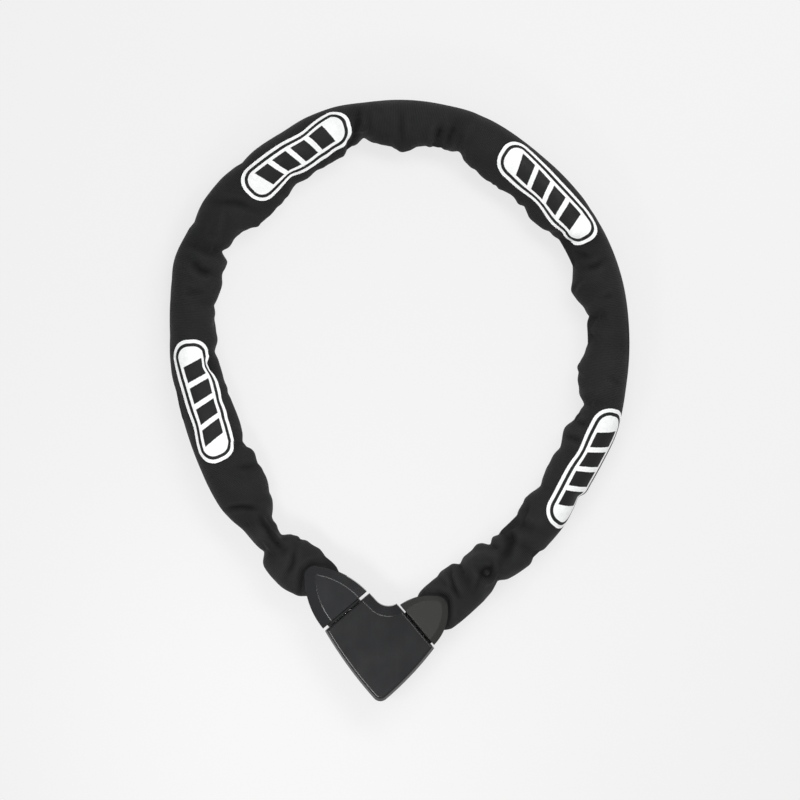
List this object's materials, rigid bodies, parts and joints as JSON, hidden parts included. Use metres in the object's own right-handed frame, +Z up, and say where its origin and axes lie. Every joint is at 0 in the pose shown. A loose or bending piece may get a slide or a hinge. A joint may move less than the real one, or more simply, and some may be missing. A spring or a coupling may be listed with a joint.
{
  "type": "chain lock",
  "caption": "Chain lock: square-bar chain in a woven sleeve, joined by an L-shaped head with a keyed bolt at one end and a fixed anchor at the other.",
  "frame": {"origin": "bottom centre of the whole lock's bounding box, as it lies flat", "axes": "+Z up from the surface it lies on, +Y from the lock head to the far side of the loop, +X to the right seen from above"},
  "size_m": [0.2944, 0.382, 0.031],
  "materials": {
    "housing_plastic": "smooth dark grey moulding with a soft shine",
    "bolt_cap_plastic": "smooth near-black moulding",
    "anchor_cap_plastic": "matt olive grey moulding",
    "case_steel": "hardened, machined",
    "cylinder_brass": "machined",
    "bolt_steel": "hardened and ground",
    "screw_steel": "blackened zinc",
    "chain_steel": "hardened, zinc plated",
    "sleeve_fabric": "ribbed woven polyester with four white reflective patches"
  },
  "bodies": {
    "lock_head": {"housing_front": "housing_plastic", "housing_rear": "housing_plastic", "lock_case": "case_steel", "latch_plate": "case_steel", "cylinder_body": "cylinder_brass", "cylinder_pin": "bolt_steel", "socket_bush": "cylinder_brass", "housing_screws": "screw_steel", "anchor_stud": "bolt_steel", "anchor_dowel": "bolt_steel", "anchor_pin": "bolt_steel", "anchor_cap_front": "anchor_cap_plastic", "anchor_cap_rear": "anchor_cap_plastic"},
    "key_plug": {"cylinder_plug": "cylinder_brass", "tumbler_discs": "cylinder_brass", "cylinder_cam": "case_steel"},
    "latch": {"locking_latch": "case_steel"},
    "chain_1": {"link_01": "chain_steel", "link_02": "chain_steel", "link_03": "chain_steel", "sleeve_1": "sleeve_fabric"},
    "chain_2": {"link_04": "chain_steel", "link_05": "chain_steel", "link_06": "chain_steel", "sleeve_2": "sleeve_fabric"},
    "chain_3": {"link_07": "chain_steel", "link_08": "chain_steel", "link_09": "chain_steel", "sleeve_3": "sleeve_fabric"},
    "chain_4": {"link_10": "chain_steel", "link_11": "chain_steel", "link_12": "chain_steel", "sleeve_4": "sleeve_fabric"},
    "chain_5": {"link_13": "chain_steel", "link_14": "chain_steel", "link_15": "chain_steel", "link_16": "chain_steel", "sleeve_5": "sleeve_fabric"},
    "chain_6": {"link_17": "chain_steel", "link_18": "chain_steel", "link_19": "chain_steel", "sleeve_6": "sleeve_fabric"},
    "chain_7": {"link_20": "chain_steel", "link_21": "chain_steel", "link_22": "chain_steel", "sleeve_7": "sleeve_fabric"},
    "chain_8": {"link_23": "chain_steel", "link_24": "chain_steel", "link_25": "chain_steel", "sleeve_8": "sleeve_fabric"},
    "bolt_end": {"lock_bolt": "bolt_steel", "bolt_pin": "bolt_steel", "bolt_cap_front": "bolt_cap_plastic", "bolt_cap_rear": "bolt_cap_plastic", "bolt_cap_screws": "screw_steel"}
  },
  "joints": [
    {"name": "anchor_pivot", "type": "hinge", "parent": "lock_head", "child": "chain_1", "pos_m": [0.02227, -0.13312, 0.0155], "axis": [0, 0, 1], "range_deg": [0, 16]},
    {"name": "chain_bend_1", "type": "hinge", "parent": "chain_1", "child": "chain_2", "pos_m": [0.09131, -0.07419, 0.0155], "axis": [0, 0, 1], "range_deg": [-4.94, 0]},
    {"name": "chain_bend_2", "type": "hinge", "parent": "chain_2", "child": "chain_3", "pos_m": [0.13199, 0.02308, 0.0155], "axis": [0, 0, 1], "range_deg": [-9.88, 0]},
    {"name": "chain_bend_3", "type": "hinge", "parent": "chain_3", "child": "chain_4", "pos_m": [0.11117, 0.11014, 0.0155], "axis": [0, 0, 1], "range_deg": [-6.93, 0]},
    {"name": "chain_bend_4", "type": "hinge", "parent": "chain_4", "child": "chain_5", "pos_m": [0.0271, 0.17257, 0.0155], "axis": [0, 0, 1], "range_deg": [-5.35, 0]},
    {"name": "chain_bend_5", "type": "hinge", "parent": "chain_5", "child": "chain_6", "pos_m": [-0.09475, 0.13772, 0.0155], "axis": [0, 0, 1], "range_deg": [-3.34, 0]},
    {"name": "chain_bend_6", "type": "hinge", "parent": "chain_6", "child": "chain_7", "pos_m": [-0.13207, 0.05712, 0.0155], "axis": [0, 0, 1], "range_deg": [0, 6.7]},
    {"name": "chain_bend_7", "type": "hinge", "parent": "chain_7", "child": "chain_8", "pos_m": [-0.11001, -0.04619, 0.0155], "axis": [0, 0, 1], "range_deg": [0, 15.77]},
    {"name": "bolt_pivot", "type": "hinge", "parent": "chain_8", "child": "bolt_end", "pos_m": [-0.05064, -0.11379, 0.0155], "axis": [0, 0, 1], "range_deg": [-8.02, 0]},
    {"name": "key_turn", "type": "hinge", "parent": "lock_head", "child": "key_plug", "pos_m": [-0.0106, -0.161, 0.0155], "axis": [-0.6468, 0.7627, 0], "range_deg": [0, 90]},
    {"name": "latch_slide", "type": "slide", "parent": "lock_head", "child": "latch", "axis": [0.7627, 0.6468, 0], "range_m": [0, 0.00453]}
  ],
  "couplings": [
    {"joint": "chain_bend_1", "follows": "anchor_pivot", "ratio": -0.3089},
    {"joint": "chain_bend_2", "follows": "anchor_pivot", "ratio": -0.6177},
    {"joint": "chain_bend_3", "follows": "anchor_pivot", "ratio": -0.4331},
    {"joint": "chain_bend_4", "follows": "anchor_pivot", "ratio": -0.3346},
    {"joint": "chain_bend_5", "follows": "anchor_pivot", "ratio": -0.209},
    {"joint": "chain_bend_6", "follows": "anchor_pivot", "ratio": 0.4188},
    {"joint": "chain_bend_7", "follows": "anchor_pivot", "ratio": 0.9856},
    {"joint": "bolt_pivot", "follows": "anchor_pivot", "ratio": -0.5011},
    {"joint": "key_turn", "follows": "latch_slide", "rad_per_m": 346.7}
  ]
}
